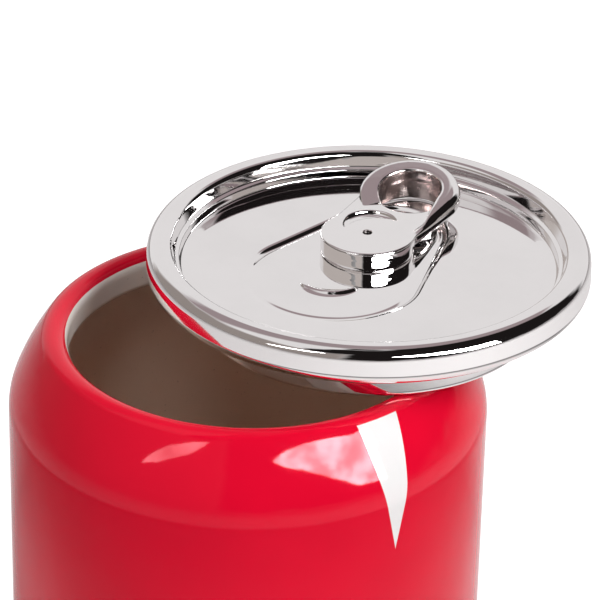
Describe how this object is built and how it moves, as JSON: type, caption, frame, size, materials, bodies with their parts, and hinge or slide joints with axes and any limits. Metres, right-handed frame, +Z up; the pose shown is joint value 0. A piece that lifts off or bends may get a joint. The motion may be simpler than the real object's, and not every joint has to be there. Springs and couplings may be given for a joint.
{
  "type": "lidded storage jar",
  "caption": "Round glazed ceramic storage jar in the form of a drinks can, with a bright metal lid set askew on its mouth and a ring-pull handle.",
  "frame": {"origin": "centre of the jar's flat base, where the jar's axis meets the surface it stands on", "axes": "+Z up along the jar's axis, -Y to the front, +X to the side over which the lid hangs"},
  "size_m": [0.199, 0.1731, 0.2768],
  "materials": {
    "jar_glaze": "high gloss red glaze outside, glossy taupe glaze inside, plain white stripe",
    "lid_chrome": "mirror plated",
    "tab_chrome": "mirror plated",
    "fastener_steel": "plain zinc"
  },
  "bodies": {
    "jar": {"jar_body": "jar_glaze"},
    "lid": {"lid_shell": "lid_chrome", "lid_plug": "lid_chrome", "pull_tab": "tab_chrome", "tab_screws": "fastener_steel", "tab_washers": "fastener_steel"}
  },
  "joints": [
    {"name": "lid_lift", "type": "slide", "parent": "jar", "child": "lid", "axis": [0, 0, 1], "range_m": [0, 0.12]}
  ]
}
